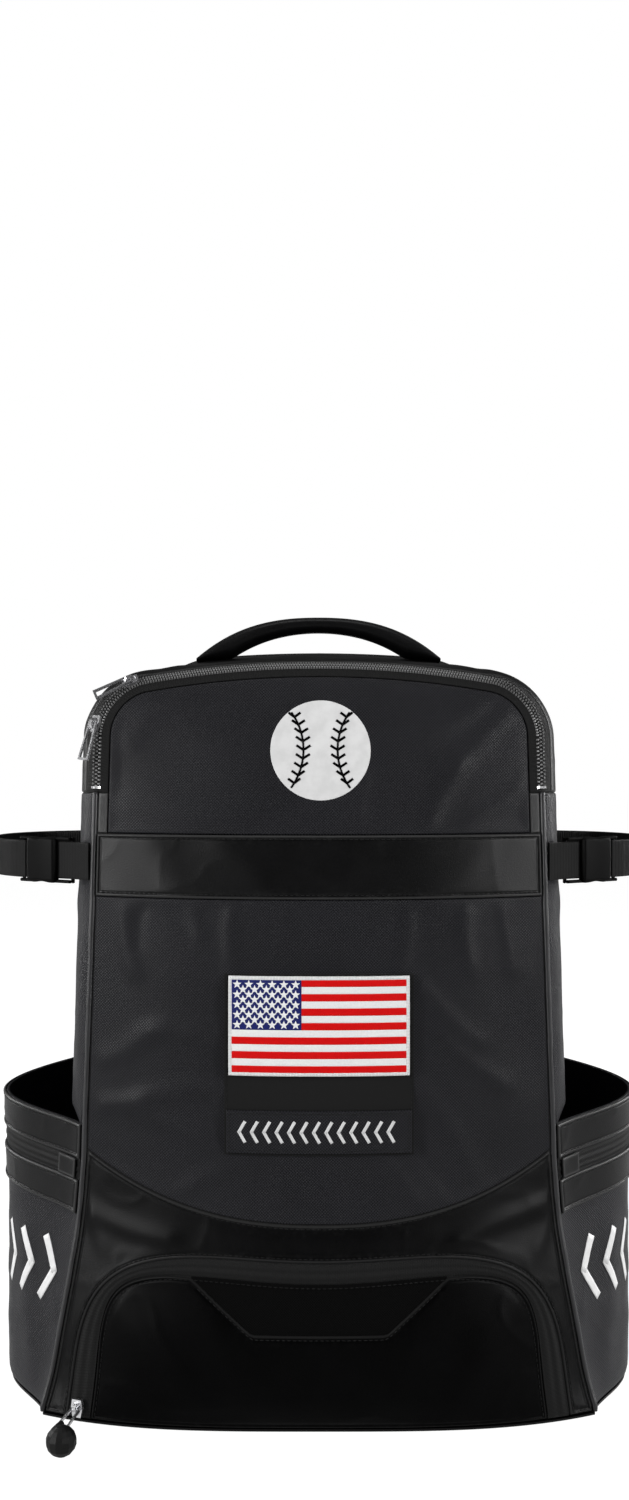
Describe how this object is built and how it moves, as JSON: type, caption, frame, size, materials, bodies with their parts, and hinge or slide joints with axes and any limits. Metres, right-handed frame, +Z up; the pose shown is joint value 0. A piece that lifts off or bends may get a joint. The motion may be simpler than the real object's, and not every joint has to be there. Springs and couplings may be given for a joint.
{
  "type": "baseball bat backpack",
  "caption": "Black soft backpack with a bat sleeve and bat strap on each side, a vented shoe compartment, a sewn flag patch and padded shoulder straps.",
  "frame": {"origin": "middle of the flat base, on the ground", "axes": "+Z up along the bag's height, -Y out of the front face, +X to the right seen from the front"},
  "size_m": [0.4478, 0.2975, 0.513],
  "materials": {
    "dotted_fabric": "black coated weave with small raised dots",
    "satin_trim": "satin black coated fabric with a fine grain",
    "padded_fabric": "black padded mesh fabric",
    "vent_mesh": "open black mesh",
    "zip_tape": "matt black tape with ribs",
    "webbing": "ribbed black webbing",
    "loop_tape": "matt black loop tape",
    "flag_thread": "satin embroidery thread",
    "buckle_plastic": "fine-grained black plastic",
    "zip_metal": "polished silver metal",
    "pull_rubber": "matt black rubber"
  },
  "bodies": {
    "root": {"front_top_panel": "dotted_fabric", "front_main_panel": "dotted_fabric", "front_band": "satin_trim", "front_lower_panel": "satin_trim", "zip_end_tab_left": "satin_trim", "zip_end_tab_right": "satin_trim", "shoe_flap": "satin_trim", "shoe_vent": "vent_mesh", "shoe_zip": "zip_tape", "main_zip": "zip_tape", "piping_left": "satin_trim", "piping_right": "satin_trim", "top_panel": "satin_trim", "back_panel": "padded_fabric", "base_panel": "satin_trim", "haul_handle": "webbing", "patch_field": "loop_tape", "flag_patch": "flag_thread", "lower_patch": "dotted_fabric", "main_zip_lower_slider": "zip_metal", "main_zip_lower_pull": "zip_metal", "main_zip_upper_slider": "zip_metal", "main_zip_upper_pull": "zip_metal", "shoe_zip_slider": "zip_metal", "shoe_zip_pull": "zip_metal", "ball_pull": "pull_rubber", "side_panel_left": "dotted_fabric", "bat_pocket_left": "dotted_fabric", "pocket_upper_band_left": "satin_trim", "pocket_lower_band_left": "satin_trim", "pocket_zip_left": "zip_tape", "pocket_zip_garage_left": "satin_trim", "pocket_floor_left": "dotted_fabric", "bat_strap_front_left": "webbing", "bat_strap_rear_left": "webbing", "bat_buckle_left": "buckle_plastic", "shoulder_strap_left": "padded_fabric", "strap_ladderlock_left": "buckle_plastic", "strap_webbing_left": "webbing", "side_panel_right": "dotted_fabric", "bat_pocket_right": "dotted_fabric", "pocket_upper_band_right": "satin_trim", "pocket_lower_band_right": "satin_trim", "pocket_zip_right": "zip_tape", "pocket_zip_garage_right": "satin_trim", "pocket_floor_right": "dotted_fabric", "bat_strap_front_right": "webbing", "bat_strap_rear_right": "webbing", "bat_buckle_right": "buckle_plastic", "shoulder_strap_right": "padded_fabric", "strap_ladderlock_right": "buckle_plastic", "strap_webbing_right": "webbing"}
  },
  "joints": []
}
